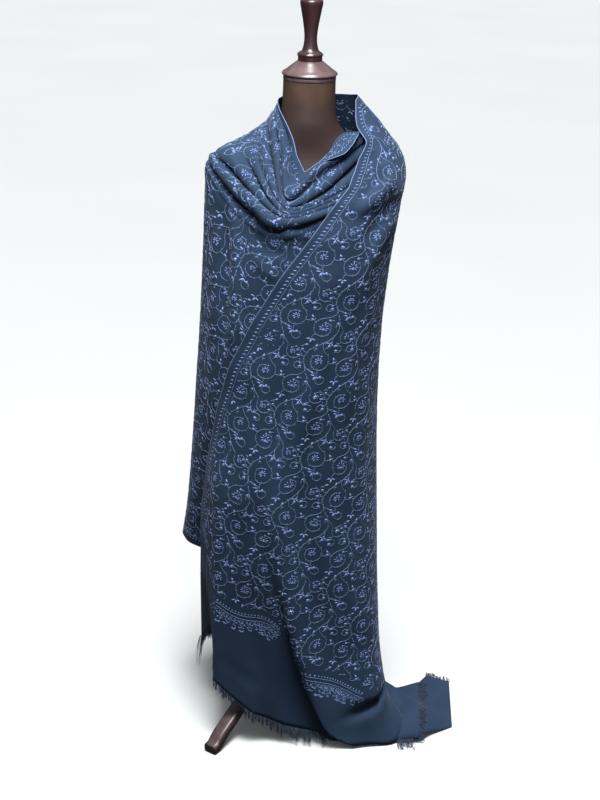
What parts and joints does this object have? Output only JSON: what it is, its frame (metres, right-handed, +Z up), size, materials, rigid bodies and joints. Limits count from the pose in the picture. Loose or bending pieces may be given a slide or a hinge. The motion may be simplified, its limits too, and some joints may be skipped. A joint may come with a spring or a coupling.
{
  "type": "fringed shawl on a dress form",
  "caption": "Long navy fringed shawl with light blue all-over needlework, wound round a limbless dress form on a wooden tripod stand, its end lying on the floor.",
  "frame": {"origin": "middle of the whole part's footprint, on the floor", "axes": "+Z up, -Y to the front of the shawl, +X to the right as seen from the front"},
  "size_m": [0.6377, 0.5737, 1.596],
  "materials": {
    "shawl_twill": "fine matt wool twill, navy, with light blue needlework",
    "fringe": "frayed and twisted navy wool threads",
    "form_cover": "brown leatherette, satin",
    "red_wood": "polished red-brown wood",
    "dark_wood": "polished dark wood"
  },
  "bodies": {
    "root": {"shawl_chest_wrap": "shawl_twill", "shawl_turned_edge": "shawl_twill", "shawl_back_wrap": "shawl_twill", "shawl_front_panel": "shawl_twill", "shawl_tail_upper": "shawl_twill", "shawl_tail_lower": "shawl_twill", "fringe_front_hem": "fringe", "fringe_turned_corner": "fringe", "fringe_floor_front": "fringe", "fringe_tail_end": "fringe", "fringe_tail_back": "fringe", "form_finial": "dark_wood", "form_neck_cap": "red_wood", "form_torso": "form_cover", "form_base_plate": "red_wood", "stand_pole": "red_wood", "stand_hub": "red_wood", "stand_leg_1": "red_wood", "stand_leg_2": "red_wood", "stand_leg_3": "red_wood"}
  },
  "joints": []
}
